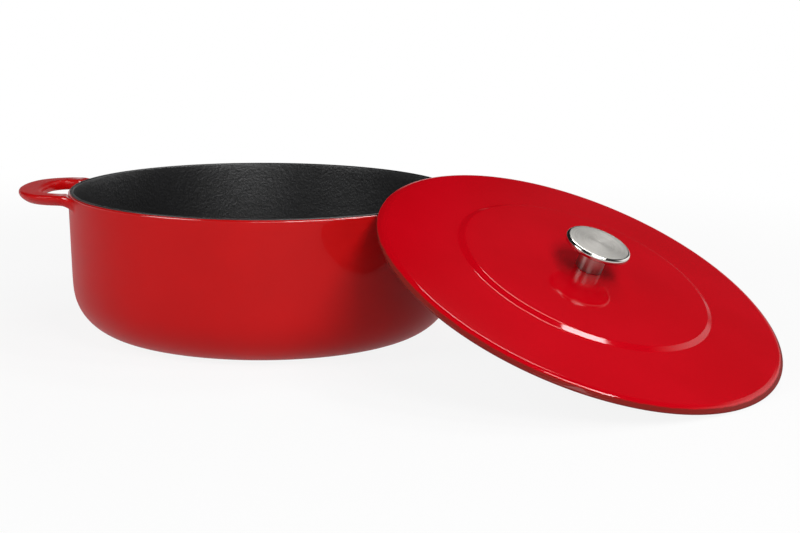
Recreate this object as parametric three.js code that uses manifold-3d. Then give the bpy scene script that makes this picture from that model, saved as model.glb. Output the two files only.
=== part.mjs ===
// A round enamelled cast-iron casserole with two loop handles. Its lid is off, and leans on the pot.
// Millimetres, +Z up. The origin is the middle of the pot's base, and the handles lie along X.
import * as THREE from 'three';
import { mergeVertices } from 'three/addons/utils/BufferGeometryUtils.js';
import Module from 'manifold-3d';

const wasm = await Module();
wasm.setup();

// Pot
const RIM_RADIUS = 140;
const POT_HEIGHT = 102;
const WALL_TAPER = 2; // the wall draws in this much from rim to base
const CORNER_RADIUS = 35; // outside, where the wall turns into the base
const IRON_WALL = 2.8;
const IRON_BASE = 4.6;
const RIM_ROUNDING = 1;

// Black enamel, drawn thick enough to be a solid, and the space that touching pieces keep
const ENAMEL = 0.8;
const GAP = 0.3;

// Loop handles, by the line along the middle of the bar; their top is level with the rim
const BAR_WIDTH = 14.8;
const BAR_THICKNESS = 7.6;
const BAR_ROUNDING = 3.3;
const ARM_OFFSET = 41; // from the handle's middle to the middle of each arm
const BEND_START = 141.8; // from the pot's axis, where the arms begin to turn inwards
const BEND_RADIUS = 23.7;
const BEND_TURN = THREE.MathUtils.degToRad(72); // the rest of the quarter turn is the bow of the outer bar
const HANDLE_ROOT = 122; // the arms start inside the wall
const OUTER_FILLET = 5; // where an arm meets the wall, outside the loop
const INNER_FILLET = 3.3; // and inside it

// Lid, measured up from the ring that sits on the rim
const LID_RADIUS = 141.5;
const LID_EDGE = 4; // thickness at the edge
const EDGE_ROUNDING = 2.2; // upper corner of the edge
const EDGE_UNDER_ROUNDING = 1.2; // lower corner of the edge
const DOME_START = 139;
const DOME_RADIUS = 1110;
const STEP_FOOT = 88.5; // radius where the raised middle begins
const STEP_TOP = 84.5;
const STEP_HEIGHT = 1.7;
const SEAT_OUTER = 138.7; // the black underside ends here, inside the red edge
const LIP_OUTER = 134.5; // the lip drops just inside the rim
const LIP_INNER = 130.5;
const LIP_DEPTH = 1.8;
const LIP_DRAFT = 0.5;
const UNDER_STEP = 88; // radius where the underside steps up below the raised middle
const UNDER_STEP_RISE = 2.6;
const UNDER_MIDDLE = 80;
const UNDER_MIDDLE_RISE = 8.5;

// Knob and its fastening
const CAP_RADIUS = 22;
const CAP_TOP = 34;
const CAP_THICKNESS = 4.4;
const CAP_ROUNDING = 1.9;
const CAP_CROWN = 0.3;
const STEM_RADIUS = 9;
const STEM_CHAMFER = 0.5;
const SPIGOT_RADIUS = 5;
const SPIGOT_HEIGHT = 2.4; // stem end, pressed up into the cap
const SCREW_RADIUS = 3;
const SCREW_HOLE = 3.6;
const SCREW_REACH = 11; // thread inside the stem
const SCREW_HEAD_RADIUS = 5.5;
const SCREW_HEAD_HEIGHT = 3;
const DRIVE_LENGTH = 6;
const DRIVE_WIDTH = 1.1;
const DRIVE_DEPTH = 1.6;
const WASHER_RADIUS = 9;
const WASHER_THICKNESS = 1.2;
const SPRING_WASHER_RADIUS = 5.6;
const SPRING_WASHER_THICKNESS = 1.6;
const SPRING_WASHER_SPLIT = 14; // degrees left open

// Where the lid leans: its middle, its slope, and the compass direction of its low edge
const LID_PLACE = new THREE.Vector3(214.35, -129.05, 57.38);
const LID_TILT = THREE.MathUtils.degToRad(24.08);
const LID_HEADING = THREE.MathUtils.degToRad(-43.93);

// Facets
const TURN_STEPS = 60;
const SMALL_TURN_STEPS = 24;
const CORNER_STEPS = 6;
const ROUNDING_STEPS = 3;
const DOME_STEPS = 4;

const finishes = {
  redEnamel: new THREE.MeshStandardMaterial({ color: 0xbd1220, roughness: 0.12, metalness: 0 }),
  blackEnamel: new THREE.MeshStandardMaterial({ color: 0x242527, roughness: 0.5, metalness: 0 }),
  brushedSteel: new THREE.MeshStandardMaterial({ color: 0xc6c6c1, roughness: 0.32, metalness: 1 }),
  polishedSteel: new THREE.MeshStandardMaterial({ color: 0xc9c8c5, roughness: 0.12, metalness: 1 }),
  zincSteel: new THREE.MeshStandardMaterial({ color: 0xb4b6b8, roughness: 0.35, metalness: 1 }),
};

const point = (radius, height) => new THREE.Vector2(radius, height);

// Points along an arc, angles in degrees from the outward direction
function arc(centreRadius, centreHeight, radius, from, to, steps) {
  return Array.from({ length: steps + 1 }, (_, step) => {
    const angle = THREE.MathUtils.degToRad(from + ((to - from) * step) / steps);
    return point(centreRadius + radius * Math.cos(angle), centreHeight + radius * Math.sin(angle));
  });
}

// A profile turned about the Z axis
function turned(profile, steps = TURN_STEPS) {
  return new THREE.LatheGeometry(profile, steps).rotateX(Math.PI / 2);
}

// A ring's profile comes back to its first point
const ring = (profile) => [...profile, profile[0].clone()];

function solid(geometry) {
  const bare = geometry.clone();
  bare.deleteAttribute('normal');
  bare.deleteAttribute('uv');
  const merged = mergeVertices(bare);
  const corners = merged.index.array;
  const triVerts = [];
  for (let i = 0; i < corners.length; i += 3) {
    const [a, b, c] = [corners[i], corners[i + 1], corners[i + 2]];
    if (a !== b && b !== c && c !== a) triVerts.push(a, b, c);
  }
  return new wasm.Manifold(new wasm.Mesh({
    numProp: 3,
    vertProperties: new Float32Array(merged.attributes.position.array),
    triVerts: new Uint32Array(triVerts),
  }));
}

function geometryOf(body) {
  const mesh = body.getMesh();
  const geometry = new THREE.BufferGeometry();
  geometry.setAttribute('position', new THREE.BufferAttribute(mesh.vertProperties, 3));
  geometry.setIndex(new THREE.BufferAttribute(mesh.triVerts, 1));
  geometry.computeVertexNormals();
  return geometry;
}

function piece(name, geometry, material) {
  const mesh = new THREE.Mesh(geometry, material);
  mesh.name = name;
  return mesh;
}

// Pot

// One surface of the bowl, from its axis out and up to the rim
function bowl(inset, floor, top) {
  const rim = RIM_RADIUS - inset;
  const low = rim - WALL_TAPER;
  const corner = CORNER_RADIUS - inset;
  return [
    point(0, floor),
    ...arc(low - corner, floor + corner, corner, -90, 0, CORNER_STEPS),
    point(rim, top),
  ];
}

// The plan of one loop: a U whose arms end inside the wall
function loopPlan() {
  const wallAt = (y) => Math.sqrt(RIM_RADIUS ** 2 - y ** 2);
  const half = BAR_WIDTH / 2;
  const outer = ARM_OFFSET + half;
  const flare = outer + OUTER_FILLET;
  const inner = ARM_OFFSET - half;
  const pinch = inner - INNER_FILLET;
  const bendY = ARM_OFFSET - BEND_RADIUS;
  const bowRadius = BEND_RADIUS + bendY / Math.cos(BEND_TURN);
  const bowX = BEND_START + (BEND_RADIUS - bowRadius) * Math.sin(BEND_TURN);
  const arms = Math.PI / 2;
  const bow = arms - BEND_TURN;
  const plan = new THREE.Shape();
  plan.moveTo(HANDLE_ROOT, -flare);
  plan.lineTo(wallAt(flare), -flare);
  plan.quadraticCurveTo(wallAt(outer), -outer, wallAt(outer) + OUTER_FILLET, -outer);
  plan.absarc(BEND_START, -bendY, BEND_RADIUS + half, -arms, -bow, false);
  plan.absarc(bowX, 0, bowRadius + half, -bow, bow, false);
  plan.absarc(BEND_START, bendY, BEND_RADIUS + half, bow, arms, false);
  plan.lineTo(wallAt(outer) + OUTER_FILLET, outer);
  plan.quadraticCurveTo(wallAt(outer), outer, wallAt(flare), flare);
  plan.lineTo(HANDLE_ROOT, flare);
  plan.lineTo(HANDLE_ROOT, pinch);
  plan.lineTo(wallAt(pinch), pinch);
  plan.quadraticCurveTo(wallAt(inner), inner, wallAt(inner) + INNER_FILLET, inner);
  plan.absarc(BEND_START, bendY, BEND_RADIUS - half, arms, bow, true);
  plan.absarc(bowX, 0, bowRadius - half, bow, -bow, true);
  plan.absarc(BEND_START, -bendY, BEND_RADIUS - half, -bow, -arms, true);
  plan.lineTo(wallAt(inner) + INNER_FILLET, -inner);
  plan.quadraticCurveTo(wallAt(inner), -inner, wallAt(pinch), -pinch);
  plan.lineTo(HANDLE_ROOT, -pinch);
  plan.closePath();
  return plan;
}

function loopHandle(turn) {
  const loop = new THREE.ExtrudeGeometry(loopPlan(), {
    depth: BAR_THICKNESS - 2 * BAR_ROUNDING,
    curveSegments: 4,
    bevelThickness: BAR_ROUNDING,
    bevelSize: BAR_ROUNDING,
    bevelOffset: -BAR_ROUNDING,
    bevelSegments: ROUNDING_STEPS,
  });
  return loop.translate(0, 0, POT_HEIGHT - BAR_THICKNESS + BAR_ROUNDING).rotateZ(turn);
}

// Wall, base and both handles are one casting, cut out for the bowl and for the enamel on the rim
function potCasting() {
  const top = POT_HEIGHT - ENAMEL - GAP;
  const outside = bowl(0, 0, top - RIM_ROUNDING);
  outside.push(point(RIM_RADIUS - RIM_ROUNDING, top), point(0, top));
  const cavity = bowl(IRON_WALL, IRON_BASE, top + GAP);
  cavity.push(point(0, top + GAP));
  const rimEdge = RIM_RADIUS - RIM_ROUNDING + GAP;
  const rimSpace = [point(0, top), point(rimEdge, top), point(rimEdge, POT_HEIGHT + GAP), point(0, POT_HEIGHT + GAP)];
  return geometryOf(
    solid(turned(outside))
      .add(solid(loopHandle(0)))
      .add(solid(loopHandle(Math.PI)))
      .subtract(solid(turned(cavity)))
      .subtract(solid(turned(rimSpace))),
  );
}

// Black enamel inside the pot, turned out over the rim
function potLining() {
  const back = IRON_WALL + GAP;
  const face = back + ENAMEL;
  const flangeEdge = RIM_RADIUS - RIM_ROUNDING;
  const inside = bowl(face, IRON_BASE + GAP + ENAMEL, POT_HEIGHT - RIM_ROUNDING);
  const faceTop = RIM_RADIUS - face + RIM_ROUNDING;
  return turned([
    ...bowl(back, IRON_BASE + GAP, POT_HEIGHT - ENAMEL),
    point(flangeEdge, POT_HEIGHT - ENAMEL),
    point(flangeEdge, POT_HEIGHT - ENAMEL / 2),
    point(flangeEdge - ENAMEL / 2, POT_HEIGHT),
    ...arc(faceTop, POT_HEIGHT - RIM_ROUNDING, RIM_ROUNDING, 90, 180, ROUNDING_STEPS),
    ...inside.reverse().slice(1),
  ]);
}

// Lid

// Height of the lid's outer dome, before the raised middle
const domeHeight = (radius) => LID_EDGE + (DOME_START ** 2 - radius ** 2) / (2 * DOME_RADIUS);
const LID_TOP = domeHeight(0) + STEP_HEIGHT;

function domePoints(from, to, rise) {
  return Array.from({ length: DOME_STEPS + 1 }, (_, step) => {
    const radius = from + ((to - from) * step) / DOME_STEPS;
    return point(radius, domeHeight(radius) + rise);
  });
}

// The underside from the lip inwards to the screw hole, raised by a thickness of enamel or a gap
function underside(raise) {
  return [
    point(LIP_INNER, raise),
    point(UNDER_STEP, UNDER_STEP_RISE + raise),
    point(UNDER_MIDDLE, UNDER_MIDDLE_RISE + raise),
    point(SCREW_HOLE, UNDER_MIDDLE_RISE + raise),
  ];
}

function lidCasting() {
  const seat = ENAMEL + GAP;
  const edgeInner = SEAT_OUTER + GAP;
  return turned(ring([
    point(edgeInner, 0),
    ...arc(LID_RADIUS - EDGE_UNDER_ROUNDING, EDGE_UNDER_ROUNDING, EDGE_UNDER_ROUNDING, -90, 0, ROUNDING_STEPS),
    ...arc(LID_RADIUS - EDGE_ROUNDING, LID_EDGE - EDGE_ROUNDING, EDGE_ROUNDING, 0, 80, ROUNDING_STEPS),
    ...domePoints(DOME_START - EDGE_ROUNDING, STEP_FOOT, 0),
    ...domePoints(STEP_TOP, SCREW_HOLE, STEP_HEIGHT),
    ...underside(seat).reverse(),
    point(edgeInner, seat),
  ]));
}

// Black enamel under the lid, with the lip that keeps the lid on the pot
function lidLining() {
  return turned(ring([
    point(LIP_INNER + LIP_DRAFT, -LIP_DEPTH),
    point(LIP_OUTER - LIP_DRAFT, -LIP_DEPTH),
    point(LIP_OUTER, 0),
    point(SEAT_OUTER, 0),
    point(SEAT_OUTER, ENAMEL),
    ...underside(ENAMEL),
    ...underside(0).reverse(),
  ]));
}

// Knob

const STEM_BASE = LID_TOP + GAP;
const CAP_BASE = CAP_TOP - CAP_THICKNESS;
const STEM_TOP = CAP_BASE - GAP;

function knobCap() {
  const socket = SPIGOT_RADIUS + GAP;
  const socketTop = STEM_TOP + SPIGOT_HEIGHT + GAP;
  const inset = CAP_RADIUS - CAP_ROUNDING;
  const shoulder = CAP_TOP - CAP_CROWN - CAP_ROUNDING;
  return turned([
    point(0, socketTop),
    point(socket, socketTop),
    point(socket, CAP_BASE),
    ...arc(inset, CAP_BASE + CAP_ROUNDING, CAP_ROUNDING, -90, 0, ROUNDING_STEPS),
    ...arc(inset, shoulder, CAP_ROUNDING, 0, 90, ROUNDING_STEPS),
    point(0, CAP_TOP),
  ], SMALL_TURN_STEPS);
}

function knobStem() {
  const thread = SCREW_RADIUS + GAP;
  const threadTop = STEM_BASE + SCREW_REACH + GAP;
  return turned([
    point(0, threadTop),
    point(thread, threadTop),
    point(thread, STEM_BASE),
    point(STEM_RADIUS - STEM_CHAMFER, STEM_BASE),
    point(STEM_RADIUS, STEM_BASE + STEM_CHAMFER),
    point(STEM_RADIUS, STEM_TOP),
    point(SPIGOT_RADIUS, STEM_TOP),
    point(SPIGOT_RADIUS, STEM_TOP + SPIGOT_HEIGHT),
    point(0, STEM_TOP + SPIGOT_HEIGHT),
  ], SMALL_TURN_STEPS);
}

// Screw and washers hang in a stack below the lid's middle
const WASHER_BASE = UNDER_MIDDLE_RISE - GAP - WASHER_THICKNESS;
const SPRING_WASHER_BASE = WASHER_BASE - GAP - SPRING_WASHER_THICKNESS;
const SCREW_HEAD_TOP = SPRING_WASHER_BASE - GAP;

function flatWasher() {
  return turned(ring([
    point(SCREW_HOLE, WASHER_BASE),
    point(WASHER_RADIUS, WASHER_BASE),
    point(WASHER_RADIUS, WASHER_BASE + WASHER_THICKNESS),
    point(SCREW_HOLE, WASHER_BASE + WASHER_THICKNESS),
  ]), SMALL_TURN_STEPS);
}

function springWasher() {
  const open = THREE.MathUtils.degToRad(SPRING_WASHER_SPLIT / 2);
  const plan = new THREE.Shape();
  plan.absarc(0, 0, SPRING_WASHER_RADIUS, open, 2 * Math.PI - open, false);
  plan.absarc(0, 0, SCREW_HOLE, 2 * Math.PI - open, open, true);
  plan.closePath();
  const washer = new THREE.ExtrudeGeometry(plan, {
    depth: SPRING_WASHER_THICKNESS,
    curveSegments: SMALL_TURN_STEPS / 2,
    bevelEnabled: false,
  });
  return washer.translate(0, 0, SPRING_WASHER_BASE);
}

function knobScrew() {
  const headBase = SCREW_HEAD_TOP - SCREW_HEAD_HEIGHT;
  const crown = SCREW_HEAD_HEIGHT / 2;
  const body = turned([
    point(0, headBase),
    point(SCREW_HEAD_RADIUS - crown, headBase),
    ...arc(SCREW_HEAD_RADIUS - crown, headBase + crown, crown, -60, 0, ROUNDING_STEPS),
    point(SCREW_HEAD_RADIUS, SCREW_HEAD_TOP),
    point(SCREW_RADIUS, SCREW_HEAD_TOP),
    point(SCREW_RADIUS, STEM_BASE + SCREW_REACH),
    point(0, STEM_BASE + SCREW_REACH),
  ], SMALL_TURN_STEPS);
  const drive = (length, width) => solid(
    new THREE.BoxGeometry(length, width, 2 * DRIVE_DEPTH).translate(0, 0, headBase),
  );
  return geometryOf(
    solid(body)
      .subtract(drive(DRIVE_LENGTH, DRIVE_WIDTH))
      .subtract(drive(DRIVE_WIDTH, DRIVE_LENGTH)),
  );
}

const pot = new THREE.Group();
pot.add(
  piece('pot_casting', potCasting(), finishes.redEnamel),
  piece('pot_lining', potLining(), finishes.blackEnamel),
);

const lid = new THREE.Group();
lid.add(
  piece('lid_casting', lidCasting(), finishes.redEnamel),
  piece('lid_lining', lidLining(), finishes.blackEnamel),
  piece('knob_cap', knobCap(), finishes.brushedSteel),
  piece('knob_stem', knobStem(), finishes.polishedSteel),
  piece('knob_screw', knobScrew(), finishes.zincSteel),
  piece('spring_washer', springWasher(), finishes.zincSteel),
  piece('flat_washer', flatWasher(), finishes.zincSteel),
);
lid.rotation.y = LID_TILT;

const leaningLid = new THREE.Group();
leaningLid.add(lid);
leaningLid.position.copy(LID_PLACE);
leaningLid.rotation.z = LID_HEADING;

const casserole = new THREE.Group();
casserole.add(pot, leaningLid);

export default casserole;
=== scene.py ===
"""Looks of a round enamelled casserole: red outside, black inside, with its lid leaning on the rim."""
import math

import bpy
from mathutils import Euler, Matrix, Vector


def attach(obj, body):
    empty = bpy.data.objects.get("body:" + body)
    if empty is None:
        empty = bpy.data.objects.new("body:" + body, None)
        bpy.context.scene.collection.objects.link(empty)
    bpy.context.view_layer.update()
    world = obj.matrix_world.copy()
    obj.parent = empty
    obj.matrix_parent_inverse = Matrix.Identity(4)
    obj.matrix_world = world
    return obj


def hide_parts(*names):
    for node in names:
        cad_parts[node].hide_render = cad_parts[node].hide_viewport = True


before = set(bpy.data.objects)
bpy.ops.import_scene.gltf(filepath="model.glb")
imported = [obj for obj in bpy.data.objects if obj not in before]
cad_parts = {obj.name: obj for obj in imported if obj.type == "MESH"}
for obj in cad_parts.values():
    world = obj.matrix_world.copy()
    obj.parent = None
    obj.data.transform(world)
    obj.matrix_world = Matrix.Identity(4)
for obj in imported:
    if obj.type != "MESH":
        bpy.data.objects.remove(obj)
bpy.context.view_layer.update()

# Pot, in metres; the origin is the middle of its base, and the handles lie along X
RIM_RADIUS = 0.140
POT_HEIGHT = 0.102
WALL_TAPER = 0.002
CORNER_RADIUS = 0.035
IRON_WALL = 0.0028
IRON_BASE = 0.0046
ENAMEL = 0.0008
GAP = 0.0003

# A hair's breadth, by which pieces that meet stand apart or reach into each other
HAIR = 0.00005

# Rows of the casting's profile: radii on the base, heights on the wall
BASE_ROWS = (0.05, 0.090)
WALL_ROWS = (0.050, 0.066, 0.080, 0.0895)

# The casting's lip: how far in from the rim, and how high
IRON_TOP = POT_HEIGHT - ENAMEL + 0.0001
LIP_INSETS = ((0.0001, 0.1004), (0.0005, 0.1010), (0.0012, IRON_TOP), (0.0020, IRON_TOP))

# The inner side of that lip: how far out from the inner wall, and how far below the top
INNER_LIP = ((0.0003, 0), (0, 0.0010), (0, 0.008))

# How far the inner wall has come in by a height lower down
INNER_TAPER, INNER_TAPER_HEIGHT = 0.0012, 0.060

# The pot's lining: radii on its floor, then how far in from its wall, and how high
LINING_FLOOR_ROWS = (0.04, 0.08)
LINING_WALL = ((INNER_TAPER, INNER_TAPER_HEIGHT), (0.0004, 0.085))
LINING_TOP_TAPER, LINING_TOP_HEIGHT = 0.0002, 0.095
LINING_ROUNDING = 0.0011
LINING_EDGE_INSET, LINING_EDGE_ROUNDING = 0.0013, 0.0006

# Loop handles, by the line along the middle of the bar; their top is level with the rim
BAR_WIDTH = 0.0148
BAR_THICKNESS = 0.0076
ARM_OFFSET = 0.041
BEND_START = 0.1418
BEND_RADIUS = 0.0237
BEND_TURN = math.radians(72)
BEND_STEPS = 5
BOW_TURN = math.pi / 2 - BEND_TURN
BOW_STEPS = 3
BOW_RADIUS = BEND_RADIUS + (ARM_OFFSET - BEND_RADIUS) / math.cos(BEND_TURN)
BOW_CENTRE = BEND_START + (BEND_RADIUS - BOW_RADIUS) * math.sin(BEND_TURN)
BOW_INNER_START = 0.152
BOW_INNER_INSET = 0.0055
BOW_DRAWN_IN = 0.80
ROOT_FROM, ROOT_TO = math.radians(12.5), math.radians(22.5)
ROOT_ROWS = (0.0918, 0.0960, 0.0998)
ROOT_WIDTH, ROOT_THICKNESS, ROOT_DROP = 0.0172, 0.0080, 0.0002
ROOT_END, ARM_END = 0.1362, 0.1392

# The bar's section before smoothing: its width, and what its sides are multiplied or shifted by
CAGE_WIDTH = BAR_WIDTH * 1.06
TOP_SHARE = 0.87
FOOT_SHARE = 0.86
SIDE_SPREAD = 1.2
OUTER_FOOT_SHIFT = 0.10

# Lid, measured up from the ring that sits on the rim
LID_RADIUS = 0.1415
LID_EDGE = 0.004
EDGE_ROUNDING = 0.0007
EDGE_UNDER_ROUNDING = 0.0012
SHOULDER = 0.1358
SHOULDER_ROUNDING = 0.004

# The nose of the lid's edge, outwards from the shoulder: radius, slope in degrees, rounding
NOSE = ((0.1380, 16.5, 0.004), (0.1390, 27.0, 0.002), (LID_RADIUS, 33.0, EDGE_ROUNDING))

# The lid's dome and raised middle, and what lies under them
DOME_START = 0.139
DOME_RADIUS = 1.110
STEP_FOOT = 0.0885
STEP_TOP = 0.0845
STEP_HEIGHT = 0.0017
STEP_ROUNDING = 0.003
SEAT_OUTER = 0.1387
LIP_OUTER = 0.1345
LIP_INNER = 0.1305
LIP_DEPTH = 0.0018
LIP_DRAFT = 0.0005
UNDER_STEP, UNDER_STEP_RISE = 0.088, 0.0026
UNDER_MIDDLE, UNDER_MIDDLE_RISE = 0.080, 0.0085
UNDER_FLAT, UNDER_SLOPE_END = 0.070, 0.100
UNDER_ROUNDING = 0.004
LIP_FOOT_ROUNDING, LIP_EDGE_ROUNDING, LIP_OUTER_ROUNDING = 0.001, 0.0007, 0.0006

# Straight stretch kept beside a rounded corner of the lid, and where the next row of points starts
RUN_IN = 0.006
RUN_CLEAR = 0.010

# Knob
CAP_RADIUS = 0.022
CAP_TOP = 0.034
CAP_BASE = 0.0296
CAP_ROUNDING = 0.0019
CAP_CROWN = 0.00005
CAP_UNDER_ROW = 0.012
STEM_RADIUS = 0.009
STEM_CHAMFER = 0.0005

# Where the lid leans
LID_PLACE = Vector((0.21435, -0.12905, 0.05738))
LID_TURN = (0, math.radians(24.08), math.radians(-43.93))

# Where a finish changes: from here, to there
HANDLE_GLAZE = (0.139, 0.147)
LIP_GLAZE = (0.0997, 0.1006)
# At the foot of the lid's edge the glaze thins into a brown band of painted shade. Next: the side where
# that band is narrower, and the heights over which it gives way to the full red glaze
FULL_GLAZE_LESS_SHADE_SIDE = (-0.11, -0.03)
GLAZE_AND_SHADE_EDGE = (0.0031, 0.0038)
CAP_POLISH = (CAP_RADIUS - 0.0022, CAP_RADIUS - 0.0014)
FLOOR_SHADOW = (0.30, 0.90)

# How white the floor is close to the casserole
FLOOR_WHITE = 0.88

# Camera: its place in metres, where it points in radians, its lens and sensor in millimetres
CAMERA_PLACE = Vector((0.06507, -1.24160, 0.28536))
CAMERA_HEADING = -0.02711
CAMERA_PITCH = 0.19136
CAMERA_ROLL = 0.01219
CAMERA_LENS = 77.818
CAMERA_SENSOR = 36

# Lamps: place, aim, width, height and power
PAIR_MIDDLE = (0.1, -0.07, 0.05)
SOFTBOXES = {
    "key softbox": ((0.654, -1.114, 0.973), PAIR_MIDDLE, 0.65, 0.65, 10.0),
    "left softbox": ((-1.025, -0.72, 0.80), PAIR_MIDDLE, 0.7, 0.8, 8.2),
    "front softbox": ((0.28, -1.58, 0.40), (0.05, -0.07, 0.05), 0.8, 0.5, 4.0),
    "streak softbox": ((0.737, -0.337, 1.034), (0.208, -0.215, 0.044), 0.15, 0.36, 3.0),
    "back softbox": ((0.55, 0.38, 1.19), (0.214, -0.129, 0.057), 0.50, 0.22, 3.5),
}

# Steps of the turned pieces, and of a quarter of the pot
TURN_STEPS = 256
SMALL_TURN_STEPS = 128
POT_COLUMNS = 36


# Modelling by hand

def clear_selection():
    """Go back to object mode with nothing selected."""
    if bpy.context.object and bpy.context.object.mode != "OBJECT":
        bpy.ops.object.mode_set(mode="OBJECT")
    bpy.ops.object.select_all(action="DESELECT")


def pick(piece):
    """Make one piece the only selected one."""
    clear_selection()
    piece.select_set(True)
    bpy.context.view_layer.objects.active = piece


def arc(centre_radius, centre_height, radius, start, end, steps):
    """Points along an arc, with angles in degrees from the outward direction."""
    angles = [math.radians(start + (end - start) * step / steps) for step in range(steps + 1)]
    return [(centre_radius + radius * math.cos(a), centre_height + radius * math.sin(a)) for a in angles]


def rounded(corners, steps=4):
    """A line through (radius, height, rounding) corners, with an arc in place of each rounded corner."""
    line = []
    for i, (r, z, rounding) in enumerate(corners):
        corner = Vector((r, z))
        if rounding == 0:
            line.append((r, z))
            continue
        back = (Vector(corners[i - 1][:2]) - corner).normalized()
        on = (Vector(corners[i + 1][:2]) - corner).normalized()
        half = back.angle(on) / 2
        middle = corner + (back + on).normalized() * rounding / math.sin(half)
        first = corner + back * rounding / math.tan(half) - middle
        last = corner + on * rounding / math.tan(half) - middle
        sweep = first.angle_signed(last)
        for step in range(steps + 1):
            turn = Matrix.Rotation(-sweep * step / steps, 2)
            line.append(tuple(middle + turn @ first))
    return line


def draw_profile(name, line):
    """Start a piece as a chain of edges through (radius, height) points, and stay in edit mode."""
    clear_selection()
    bpy.ops.mesh.primitive_plane_add(size=0.01)
    piece = bpy.context.object
    piece.name = piece.data.name = name
    bpy.ops.object.mode_set(mode="EDIT")
    bpy.ops.mesh.select_mode(type="VERT")
    bpy.ops.mesh.select_all(action="SELECT")
    bpy.ops.mesh.merge(type="CENTER")
    bpy.ops.transform.translate(value=(line[0][0], 0, line[0][1]))
    for (r0, z0), (r1, z1) in zip(line, line[1:]):
        bpy.ops.mesh.extrude_vertices_move(TRANSFORM_OT_translate={"value": (r1 - r0, 0, z1 - z0)})
    return piece


def close_mesh():
    """Merge what meets, and face every side outwards."""
    bpy.ops.mesh.select_all(action="SELECT")
    bpy.ops.mesh.remove_doubles(threshold=0.00001)
    bpy.ops.mesh.normals_make_consistent(inside=False)


def spin_profile(angle, steps):
    """Sweep the profile about the Z axis, counter-clockwise for a positive angle."""
    bpy.ops.mesh.select_all(action="SELECT")
    bpy.ops.mesh.spin(steps=steps, angle=-angle, center=(0, 0, 0), axis=(0, 0, 1))
    close_mesh()


def turn_piece(name, line, steps=TURN_STEPS):
    """A turned piece: its profile swept all the way round."""
    piece = draw_profile(name, line)
    spin_profile(math.tau, steps)
    bpy.ops.object.mode_set(mode="OBJECT")
    bpy.ops.object.shade_smooth_by_angle(angle=math.radians(35))
    return piece


def lean_with_lid(piece):
    """Move a piece made about the lid's own axis to where the lid leans."""
    pick(piece)
    piece.location = LID_PLACE
    piece.rotation_euler = LID_TURN
    bpy.ops.object.transform_apply(location=True, rotation=True, scale=True)
    return piece


def selected_points(piece):
    """Where the selected points of a piece in edit mode are."""
    piece.update_from_editmode()
    return [vertex.co.copy() for vertex in piece.data.vertices if vertex.select]


def choose_faces(piece, wanted):
    """Select the faces of a piece in edit mode whose middles are wanted."""
    bpy.ops.mesh.select_all(action="DESELECT")
    bpy.ops.mesh.select_mode(type="FACE")
    bpy.ops.object.mode_set(mode="OBJECT")
    for face in piece.data.polygons:
        face.select = wanted(face.center)
    bpy.ops.object.mode_set(mode="EDIT")


def choose_points(piece, wanted):
    """Select the wanted points of a piece in edit mode."""
    bpy.ops.mesh.select_all(action="DESELECT")
    bpy.ops.mesh.select_mode(type="VERT")
    bpy.ops.object.mode_set(mode="OBJECT")
    for vertex in piece.data.vertices:
        vertex.select = wanted(vertex.co)
    bpy.ops.object.mode_set(mode="EDIT")


def swing(angle, centre):
    """Turn the selection about an upright axis; without a window the operator turns the other way."""
    bpy.ops.transform.rotate(value=-angle, orient_axis="Z", center_override=centre)


# Pot

def wall_radius(height):
    """Radius of the pot's outside at a height on its straight wall."""
    low = RIM_RADIUS - WALL_TAPER
    return low + WALL_TAPER * (height - CORNER_RADIUS) / (POT_HEIGHT - CORNER_RADIUS)


def pot_cage():
    """The casting's profile: from the middle of the base, up the outside, over the rim and down inside."""
    shoulder = RIM_RADIUS - WALL_TAPER - CORNER_RADIUS
    inner_corner = CORNER_RADIUS - IRON_WALL
    inner_wall = RIM_RADIUS - IRON_WALL
    return [
        (0, 0),
        *[(row, 0) for row in BASE_ROWS],
        *arc(shoulder, CORNER_RADIUS, CORNER_RADIUS, -90, 0, 6),
        *[(wall_radius(row), row) for row in WALL_ROWS + ROOT_ROWS],
        *[(RIM_RADIUS - inset, height) for inset, height in LIP_INSETS],
        *[(inner_wall + out, IRON_TOP - down) for out, down in INNER_LIP],
        (inner_wall - INNER_TAPER, INNER_TAPER_HEIGHT),
        *arc(shoulder, IRON_BASE + inner_corner, inner_corner, 0, -90, 4),
        (BASE_ROWS[0], IRON_BASE),
        (0, IRON_BASE),
    ]


def fit_bar_end(piece, middle, width, thickness):
    """Flatten the selected end across X and fit it to the bar: a flat top, and a rounder outer foot."""
    points = selected_points(piece)
    low = Vector([min(p[axis] for p in points) for axis in range(3)])
    high = Vector([max(p[axis] for p in points) for axis in range(3)])
    centre = (low + high) / 2
    size = high - low
    bpy.ops.transform.resize(value=(0, width / size.y, thickness / size.z), center_override=centre)
    bpy.ops.transform.translate(value=middle - centre)

    def on_end(point):
        outside = math.hypot(point.x, point.y) > RIM_RADIUS + 0.0004
        return outside and abs(point.x - middle.x) < 0.00005

    def on_top(point):
        return on_end(point) and point.z - middle.z > 0.4 * thickness

    def on_foot(point):
        return on_end(point) and middle.z - point.z > 0.4 * thickness

    def between_edges(point):
        return on_end(point) and 0.1 * width < abs(point.y - middle.y) < 0.4 * width

    def on_outer_foot(point):
        return on_foot(point) and point.y - middle.y > 0.15 * width

    for wanted, share in ((on_top, TOP_SHARE), (on_foot, FOOT_SHARE), (between_edges, SIDE_SPREAD)):
        choose_points(piece, wanted)
        bpy.ops.transform.resize(value=(1, share, 1), center_override=middle)
    choose_points(piece, on_outer_foot)
    bpy.ops.transform.translate(value=(0, -OUTER_FOOT_SHIFT * width, 0))
    choose_faces(piece, on_end)


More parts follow.
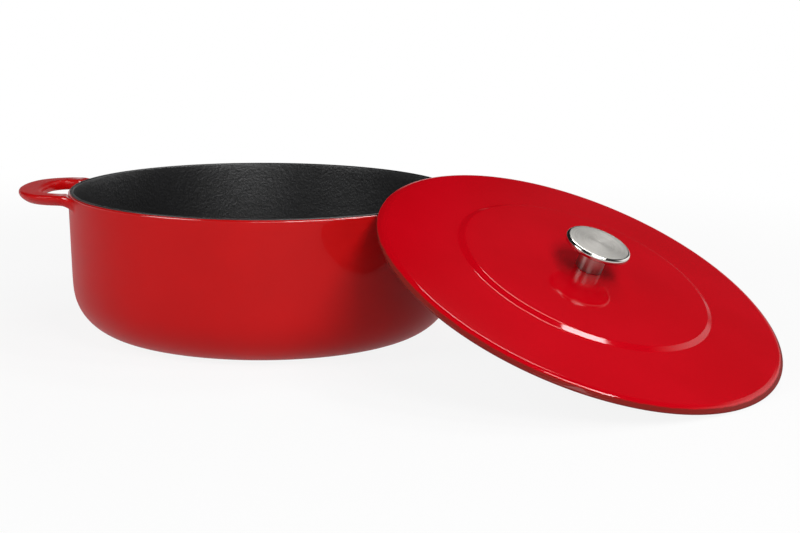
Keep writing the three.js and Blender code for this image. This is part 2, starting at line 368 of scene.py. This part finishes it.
def grow_half_handle(piece):
    """Draw one arm out of the wall, round the bend and along the bow to the middle of the handle."""

    def at_root(middle):
        direction = math.atan2(middle.y, middle.x)
        outside = math.hypot(middle.x, middle.y) > RIM_RADIUS - 0.002
        return outside and ROOT_FROM < direction < ROOT_TO and ROOT_ROWS[0] < middle.z < ROOT_ROWS[-1]

    bar_height = POT_HEIGHT - BAR_THICKNESS / 2
    sections = (
        (Vector((ROOT_END, ARM_OFFSET, bar_height - ROOT_DROP)), ROOT_WIDTH, ROOT_THICKNESS),
        (Vector((ARM_END, ARM_OFFSET, bar_height)), CAGE_WIDTH, BAR_THICKNESS),
        (Vector((BEND_START, ARM_OFFSET, bar_height)), CAGE_WIDTH, BAR_THICKNESS),
    )
    choose_faces(piece, at_root)
    for middle, width, thickness in sections:
        bpy.ops.mesh.extrude_region_move()
        fit_bar_end(piece, middle, width, thickness)
    bend_centre = (BEND_START, ARM_OFFSET - BEND_RADIUS, bar_height)
    for _ in range(BEND_STEPS):
        bpy.ops.mesh.extrude_region_move()
        swing(-BEND_TURN / BEND_STEPS, bend_centre)
    for _ in range(BOW_STEPS):
        bpy.ops.mesh.extrude_region_move()
        swing(-BOW_TURN / BOW_STEPS, (BOW_CENTRE, 0, bar_height))
    bpy.ops.transform.resize(value=(1, 0, 1), center_override=(0, 0, 0))
    bpy.ops.mesh.delete(type="FACE")
    widen_bow(piece)


def widen_bow(piece):
    """Draw the bow's inner side in, so that the bar is widest at the middle of the handle."""

    def inner_side(point):
        from_bow = math.hypot(point.x - BOW_CENTRE, point.y)
        return point.x > BOW_INNER_START and from_bow < BOW_RADIUS - BOW_INNER_INSET

    choose_points(piece, inner_side)
    bpy.ops.transform.resize(value=(BOW_DRAWN_IN, 1, 1), center_override=(BOW_INNER_START, 0, 0))


def make_pot_casting():
    """Wall, base and handles in one: a quarter is modelled, mirrored twice and smoothed."""
    piece = draw_profile("pot_casting_enamelled", pot_cage())
    spin_profile(math.pi / 2, POT_COLUMNS)
    grow_half_handle(piece)
    bpy.ops.object.mode_set(mode="OBJECT")
    mirror = piece.modifiers.new("four quarters", "MIRROR")
    mirror.use_axis = (True, True, False)
    mirror.merge_threshold = 0.00005
    bpy.ops.object.modifier_apply(modifier=mirror.name)
    bpy.ops.object.mode_set(mode="EDIT")
    close_mesh()
    bpy.ops.object.mode_set(mode="OBJECT")
    smooth = piece.modifiers.new("smooth", "SUBSURF")
    smooth.levels = smooth.render_levels = 2
    bpy.ops.object.modifier_apply(modifier=smooth.name)
    bpy.ops.object.shade_smooth()
    return piece


def make_pot_lining():
    """Black enamel from the floor up the inside and out over the rim."""
    face = IRON_WALL + GAP + ENAMEL
    shoulder = RIM_RADIUS - WALL_TAPER - CORNER_RADIUS
    floor = IRON_BASE + GAP + ENAMEL
    corner = CORNER_RADIUS - face
    back = CORNER_RADIUS - IRON_WALL - GAP
    edge = RIM_RADIUS - LINING_EDGE_INSET
    line = [
        (0, floor),
        *[(row, floor) for row in LINING_FLOOR_ROWS],
        *arc(shoulder, floor + corner, corner, -90, 0, 16),
        *[(RIM_RADIUS - face - taper, height) for taper, height in LINING_WALL],
        *rounded([
            (RIM_RADIUS - face - LINING_TOP_TAPER, LINING_TOP_HEIGHT, 0),
            (RIM_RADIUS - face, POT_HEIGHT, LINING_ROUNDING),
            (edge, POT_HEIGHT, LINING_EDGE_ROUNDING),
            (edge, POT_HEIGHT - ENAMEL, 0),
        ], 6),
        (RIM_RADIUS - IRON_WALL - GAP, POT_HEIGHT - ENAMEL),
        *arc(shoulder, IRON_BASE + GAP + back, back, 0, -90, 8),
        (0, IRON_BASE + GAP),
    ]
    return turn_piece("pot_lining_enamelled", line)


# Lid

def dome_height(radius):
    """Height of the lid's dome, before its raised middle."""
    return LID_EDGE + (DOME_START ** 2 - radius ** 2) / (2 * DOME_RADIUS)


def dome_line(start, end, rise, steps):
    """Points along the dome between two radii, raised by some height."""
    radii = [start + (end - start) * step / steps for step in range(steps + 1)]
    return [(radius, dome_height(radius) + rise) for radius in radii]


def make_lid_casting():
    """A thin edge with a rounded nose, a shallow dome, and a raised middle with a small step."""
    edge_inner = SEAT_OUTER + HAIR
    seat = ENAMEL + 0.0001
    nose = [(SHOULDER, dome_height(SHOULDER), SHOULDER_ROUNDING)]
    for radius, slope, rounding in NOSE:
        fall = (radius - nose[-1][0]) * math.tan(math.radians(slope))
        nose.append((radius, nose[-1][1] - fall, rounding))
    step = rounded([
        (STEP_FOOT + RUN_IN, dome_height(STEP_FOOT + RUN_IN), 0),
        (STEP_FOOT, dome_height(STEP_FOOT), STEP_ROUNDING),
        (STEP_TOP, dome_height(STEP_TOP) + STEP_HEIGHT, STEP_ROUNDING),
        (STEP_TOP - RUN_IN, dome_height(STEP_TOP - RUN_IN) + STEP_HEIGHT, 0),
    ], 8)
    line = [
        (0, UNDER_MIDDLE_RISE + seat),
        (UNDER_MIDDLE, UNDER_MIDDLE_RISE + seat),
        (UNDER_STEP, UNDER_STEP_RISE + seat),
        (LIP_INNER, seat),
        (edge_inner, seat),
        *rounded([
            (edge_inner, 0, 0),
            (LID_RADIUS, 0, EDGE_UNDER_ROUNDING),
            *reversed(nose),
            (SHOULDER - RUN_IN, dome_height(SHOULDER - RUN_IN), 0),
        ], 8),
        *dome_line(SHOULDER - RUN_CLEAR, STEP_FOOT + RUN_CLEAR, 0, 6),
        *step,
        *dome_line(STEP_TOP - RUN_CLEAR, 0, STEP_HEIGHT, 12),
    ]
    return lean_with_lid(turn_piece("lid_casting_enamelled", line))


def make_lid_lining():
    """Black enamel under the lid, with the lip that drops inside the rim."""
    slope = UNDER_STEP_RISE / (LIP_INNER - UNDER_STEP)
    line = [
        (0, UNDER_MIDDLE_RISE),
        *rounded([
            (UNDER_FLAT, UNDER_MIDDLE_RISE, 0),
            (UNDER_MIDDLE, UNDER_MIDDLE_RISE, UNDER_ROUNDING),
            (UNDER_STEP, UNDER_STEP_RISE, UNDER_ROUNDING),
            (UNDER_SLOPE_END, slope * (LIP_INNER - UNDER_SLOPE_END), 0),
        ], 8),
        *rounded([
            (LIP_INNER - RUN_IN, slope * RUN_IN, 0),
            (LIP_INNER, 0, LIP_FOOT_ROUNDING),
            (LIP_INNER + LIP_DRAFT, -LIP_DEPTH, LIP_EDGE_ROUNDING),
            (LIP_OUTER - LIP_DRAFT, -LIP_DEPTH, LIP_EDGE_ROUNDING),
            (LIP_OUTER, 0, LIP_OUTER_ROUNDING),
            (SEAT_OUTER, 0, 0),
        ], 5),
        (SEAT_OUTER, ENAMEL),
        (LIP_INNER, ENAMEL),
        (UNDER_STEP, UNDER_STEP_RISE + ENAMEL),
        (UNDER_MIDDLE, UNDER_MIDDLE_RISE + ENAMEL),
        (0, UNDER_MIDDLE_RISE + ENAMEL),
    ]
    return lean_with_lid(turn_piece("lid_lining_enamelled", line))


# Knob

def make_knob_cap():
    """A steel disc with a barely crowned top and a rounded edge."""
    inset = CAP_RADIUS - CAP_ROUNDING
    shoulder = CAP_TOP - CAP_CROWN
    crown = [(inset * (1 - step / 6), CAP_TOP - CAP_CROWN * (1 - step / 6) ** 2) for step in range(1, 7)]
    line = [
        (0, CAP_BASE), (CAP_UNDER_ROW, CAP_BASE),
        *arc(inset, CAP_BASE + CAP_ROUNDING, CAP_ROUNDING, -90, 0, 8),
        *arc(inset, shoulder - CAP_ROUNDING, CAP_ROUNDING, 0, 88, 8),
        *crown,
    ]
    return lean_with_lid(turn_piece("knob_cap_brushed", line, SMALL_TURN_STEPS))


def make_knob_stem():
    """A short post between the lid and the cap."""
    base = dome_height(0) + STEP_HEIGHT - HAIR
    top = CAP_BASE + HAIR
    line = rounded([
        (0, base, 0),
        (STEM_RADIUS, base, STEM_CHAMFER),
        (STEM_RADIUS, top, STEM_CHAMFER / 2),
        (0, top, 0),
    ], 4)
    return lean_with_lid(turn_piece("knob_stem_polished", line, SMALL_TURN_STEPS))


# Finishes

class Value:
    """A socket whose sums add Math nodes."""

    def __init__(self, finish, socket):
        self.finish = finish
        self.socket = socket

    def sum(self, operation, first, second):
        """A Math node of two values or numbers."""
        return self.finish.node("ShaderNodeMath", {"operation": operation}, {0: first, 1: second})

    def __add__(self, other):
        return self.sum("ADD", self, other)

    def __radd__(self, other):
        return self.sum("ADD", other, self)

    def __sub__(self, other):
        return self.sum("SUBTRACT", self, other)

    def __rsub__(self, other):
        return self.sum("SUBTRACT", other, self)

    def __mul__(self, other):
        return self.sum("MULTIPLY", self, other)

    def __rmul__(self, other):
        return self.sum("MULTIPLY", other, self)

    def __pow__(self, other):
        return self.sum("POWER", self, other)

    def __abs__(self):
        return self.finish.node("ShaderNodeMath", {"operation": "ABSOLUTE"}, {0: self})


class Finish:
    """The nodes of one material, or of the surround."""

    def __init__(self, owner):
        owner.use_nodes = True
        self.owner = owner
        self.tree = owner.node_tree
        self.tree.nodes.clear()

    def node(self, kind, settings=None, inputs=None, output=0):
        """Add a node: first its settings, then the values or links of its sockets."""
        made = self.tree.nodes.new(kind)
        for name, setting in (settings or {}).items():
            setattr(made, name, setting)
        for name, value in (inputs or {}).items():
            if isinstance(value, Value):
                self.tree.links.new(value.socket, made.inputs[name])
            else:
                made.inputs[name].default_value = value
        return Value(self, made.outputs[output]) if made.outputs else None

    def place(self):
        """Object coordinates."""
        return self.node("ShaderNodeTexCoord", output="Object")

    def lid_place(self):
        """Object coordinates turned back to the lid's own axis."""
        inputs = {"Vector": self.place(), "Location": LID_PLACE, "Rotation": LID_TURN}
        return self.node("ShaderNodeMapping", {"vector_type": "TEXTURE"}, inputs)

    def split(self, vector):
        """The three parts of a vector."""
        return [self.node("ShaderNodeSeparateXYZ", None, {0: vector}, axis) for axis in range(3)]

    def noise(self, place, scale, detail=2.0, roughness=0.5):
        """Soft random patches from 0 to 1."""
        inputs = {"Vector": place, "Scale": scale, "Detail": detail, "Roughness": roughness}
        return self.node("ShaderNodeTexNoise", None, inputs, "Fac")

    def between(self, value, low, high):
        """0 below low and 1 above high, smooth between."""
        inputs = {"Value": value, "From Min": low, "From Max": high}
        return self.node("ShaderNodeMapRange", {"interpolation_type": "SMOOTHSTEP"}, inputs)

    def blend(self, factor, first, second):
        """A colour between two colours."""
        return self.node("ShaderNodeMix", {"data_type": "RGBA"}, {0: factor, 6: first, 7: second}, 2)

    def bump(self, height, distance):
        """A surface that rises by the height times a distance in metres."""
        return self.node("ShaderNodeBump", None, {"Height": height, "Distance": distance, "Strength": 1.0})

    def surface(self, sockets):
        """Finish the material with one shader."""
        shader = self.node("ShaderNodeBsdfPrincipled", None, sockets)
        self.node("ShaderNodeOutputMaterial", None, {"Surface": shader})
        return self.owner


def red_tones(finish, place, blue):
    """Red enamel with a slow drift of tone."""
    drift = finish.between(finish.noise(place, 14), 0.3, 0.7)
    return finish.blend(drift, (0.49, 0.0008, blue, 1), (0.53, 0.0012, 1.3 * blue, 1))


def glazed(finish, place, colour, glaze, sheen):
    """A colour with a soft sheen, under a clear glaze with faint waves."""
    waves = finish.noise(place, 60, 1.0) * 0.7 + finish.noise(place, 210, 1.0) * 0.3
    return finish.surface({
        "Base Color": colour,
        "Roughness": 0.45 + 0.1 * finish.noise(place, 30),
        "Specular IOR Level": sheen,
        "Coat Weight": glaze,
        "Coat Roughness": 0.06,
        "Coat IOR": 2.0,
        "Normal": finish.bump(waves, 0.00004),
    })


def pot_enamel(name):
    """Red enamel of the pot, with a thicker glaze on the handles and the lip."""
    finish = Finish(bpy.data.materials.new(name))
    place = finish.place()
    across, _, up = finish.split(place)
    handle = finish.between(abs(across), *HANDLE_GLAZE)
    lip = finish.between(up, *LIP_GLAZE)
    glaze = 0.06 + 0.05 * handle + (1 - handle) * lip * 0.8
    return glazed(finish, place, red_tones(finish, place, 0.0016), glaze, 0.10)


def lid_enamel(name):
    """Red enamel of the lid, its glaze thinner at the foot of the edge, where a brown band of painted
    shade stands for the shade under the edge, narrower on its high side.
    """
    finish = Finish(bpy.data.materials.new(name))
    place = finish.place()
    across, _, up = finish.split(finish.lid_place())
    # The brown at the foot of the edge is painted shade, standing in for the shade and dark reflection
    # under the lid's edge. It is narrower on the high side, and the glaze thins with it.
    fuller_glaze_less_shade = 1 - finish.between(across, *FULL_GLAZE_LESS_SHADE_SIDE)
    level = up + 0.0016 * fuller_glaze_less_shade + 0.0006 * finish.noise(place, 120)
    full_glaze_unshaded = finish.between(level, *GLAZE_AND_SHADE_EDGE)
    # Painted shade: dark brown at the foot of the edge.
    colour = finish.blend(full_glaze_unshaded, (0.20, 0.016, 0.013, 1), red_tones(finish, place, 0.0055))
    return glazed(finish, place, colour, 0.08 + 0.25 * full_glaze_unshaded, 0.0)


def black_enamel(name):
    """Matte black enamel with a fine pebbled grain."""
    finish = Finish(bpy.data.materials.new(name))
    place = finish.place()
    cloud = finish.between(finish.noise(place, 24, 3.0), 0.3, 0.7)
    pebbles = finish.noise(place, 520, 3.0, 0.55)
    swell = finish.noise(place, 120, 1.0)
    return finish.surface({
        "Base Color": finish.blend(cloud, (0.0040, 0.0041, 0.0046, 1), (0.0065, 0.0066, 0.0072, 1)),
        "Roughness": 0.34 + 0.12 * pebbles,
        "Specular IOR Level": 0.9,
        "Normal": finish.bump(pebbles * 0.7 + swell * 0.3, 0.00045),
    })


def brushed_steel(name):
    """Steel brushed in rings round the knob's axis, and polished at its edge."""
    finish = Finish(bpy.data.materials.new(name))
    across, along, _ = finish.split(finish.lid_place())
    radius = (across * across + along * along) ** 0.5

    def rings(pitch):
        marks = {"X": radius * (1 / pitch), "Y": across * 26.0, "Z": along * 26.0}
        place = finish.node("ShaderNodeCombineXYZ", None, marks)
        return finish.noise(place, 1.0, 3.0)

    scratches = rings(0.0002) * 0.8 + rings(0.0007) * 0.2
    brushed = 1.0 - finish.between(radius, *CAP_POLISH)
    tone = finish.between(scratches, 0.3, 0.7)
    return finish.surface({
        "Base Color": finish.blend(tone, (0.50, 0.485, 0.455, 1), (0.68, 0.66, 0.62, 1)),
        "Metallic": 1.0,
        "Roughness": 0.14 + brushed * (0.26 + 0.12 * scratches),
        "Normal": finish.bump(scratches * brushed, 0.00020),
    })


def polished_steel(name):
    """Polished steel with faint turning marks round the post."""
    finish = Finish(bpy.data.materials.new(name))
    across, along, up = finish.split(finish.lid_place())
    marks = {"X": up * 4200.0, "Y": across * 20.0, "Z": along * 20.0}
    turning = finish.noise(finish.node("ShaderNodeCombineXYZ", None, marks), 1.0)
    return finish.surface({
        "Base Color": finish.blend(turning, (0.45, 0.435, 0.41, 1), (0.54, 0.525, 0.50, 1)),
        "Metallic": 1.0,
        "Roughness": 0.26 + 0.10 * turning,
        "Normal": finish.bump(turning, 0.000006),
    })


def zinc_steel(name):
    """Zinc-plated steel: a dull bluish plate with a mottled sheen."""
    finish = Finish(bpy.data.materials.new(name))
    mottle = finish.noise(finish.place(), 900, 4.0, 0.6)
    return finish.surface({
        "Base Color": finish.blend(mottle, (0.40, 0.41, 0.43, 1), (0.55, 0.56, 0.57, 1)),
        "Metallic": 1.0,
        "Roughness": 0.28 + 0.2 * mottle,
        "Normal": finish.bump(mottle, 0.00002),
    })


# Studio

def pale_floor():
    """A white floor that keeps the soft shadow near the casserole."""
    clear_selection()
    bpy.ops.mesh.primitive_plane_add(size=60, location=(0, 0, -0.0003))
    floor = bpy.context.object
    floor.name = "floor"
    finish = Finish(bpy.data.materials.new("pale floor"))
    across, along, _ = finish.split(finish.place())
    distance = (across * across + along * along) ** 0.5
    far = finish.between(distance, *FLOOR_SHADOW)
    seen = 0.0
    for kind in ("Is Camera Ray", "Is Glossy Ray", "Is Transmission Ray"):
        ray = finish.node("ShaderNodeLightPath", output=kind)
        seen = finish.node("ShaderNodeMath", {"operation": "MAXIMUM"}, {0: ray, 1: seen})
    paper = finish.node("ShaderNodeBsdfDiffuse", None, {"Color": (0.80, 0.80, 0.80, 1)})
    white = finish.node("ShaderNodeEmission", None, {"Color": (1, 1, 1, 1), "Strength": 1.0})
    share = seen * (FLOOR_WHITE + (1 - FLOOR_WHITE) * far)
    shade = finish.node("ShaderNodeMixShader", None, {0: share, 1: paper, 2: white})
    finish.node("ShaderNodeOutputMaterial", None, {"Surface": shade})
    floor.data.materials.append(finish.owner)


def surround():
    """A pale strip along the horizon, higher on the right, under dark walls and a black ceiling."""
    world = bpy.data.worlds.new("studio")
    bpy.context.scene.world = world
    finish = Finish(world)
    across, along, height = finish.split(finish.node("ShaderNodeTexCoord", output="Generated"))
    right = finish.between(across, 0.18, 0.30) * finish.between(along, 0.25, 0.45)
    wall = finish.blend(right, (0.015, 0.015, 0.016, 1), (0.070, 0.072, 0.077, 1))
    wall = finish.blend(finish.between(height, 0.80, 0.90), wall, (0, 0, 0, 1))
    raised = finish.between(across, 0.60, 0.72)
    low = (1 - finish.between(height - 0.40 * raised, 0.03, 0.28)) * finish.between(along, -0.2, 0.3)
    pale = finish.blend(raised, (0.90, 0.90, 0.90, 1), (1.4, 1.4, 1.4, 1))
    colour = finish.blend(low, wall, pale)
    light = finish.node("ShaderNodeBackground", None, {"Color": colour, "Strength": 1.0})
    finish.node("ShaderNodeOutputWorld", None, {"Surface": light})


def softbox(name, place, aim, width, height, power):
    """A rectangular lamp that points at a place."""
    clear_selection()
    turn = (Vector(aim) - Vector(place)).to_track_quat("-Z", "Y").to_euler()
    bpy.ops.object.light_add(type="AREA", location=place, rotation=turn)
    lamp = bpy.context.object
    lamp.name = lamp.data.name = name
    lamp.data.shape = "RECTANGLE"
    lamp.data.size = width
    lamp.data.size_y = height
    lamp.data.energy = power
    lamp.visible_camera = False


def camera():
    """The photograph's viewpoint."""
    clear_selection()
    bpy.ops.object.camera_add(location=CAMERA_PLACE)
    view = bpy.context.object
    tilt = Euler((math.pi / 2 - CAMERA_PITCH, 0, CAMERA_HEADING)).to_matrix().to_4x4()
    view.matrix_world = Matrix.Translation(CAMERA_PLACE) @ tilt @ Matrix.Rotation(CAMERA_ROLL, 4, "Z")
    view.data.sensor_fit = "HORIZONTAL"
    view.data.sensor_width = CAMERA_SENSOR
    view.data.lens = CAMERA_LENS
    bpy.context.scene.camera = view


# Assembly

def dress(piece, body, node, finish):
    """Give a piece its finish, attach it to the body it rides on, and hide the CAD node it stands for."""
    piece.data.materials.clear()
    piece.data.materials.append(finish)
    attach(piece, body)
    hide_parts(node)


wall_red = pot_enamel("red enamel of the pot")
lid_red = lid_enamel("red enamel of the lid")
black = black_enamel("matte black enamel")
brushed = brushed_steel("brushed steel")
polished = polished_steel("polished steel")
zinc = zinc_steel("zinc-plated steel")

dress(make_pot_casting(), "pot", "pot_casting", wall_red)
dress(make_pot_lining(), "pot", "pot_lining", black)
dress(make_lid_casting(), "lid", "lid_casting", lid_red)
dress(make_lid_lining(), "lid", "lid_lining", black)
dress(make_knob_cap(), "lid", "knob_cap", brushed)
dress(make_knob_stem(), "lid", "knob_stem", polished)
for name in ("knob_screw", "spring_washer", "flat_washer"):
    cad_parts[name].data.materials.clear()
    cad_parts[name].data.materials.append(zinc)

pale_floor()
surround()
for name, lamp in SOFTBOXES.items():
    softbox(name, *lamp)
camera()
bpy.context.scene.view_settings.view_transform = "Standard"
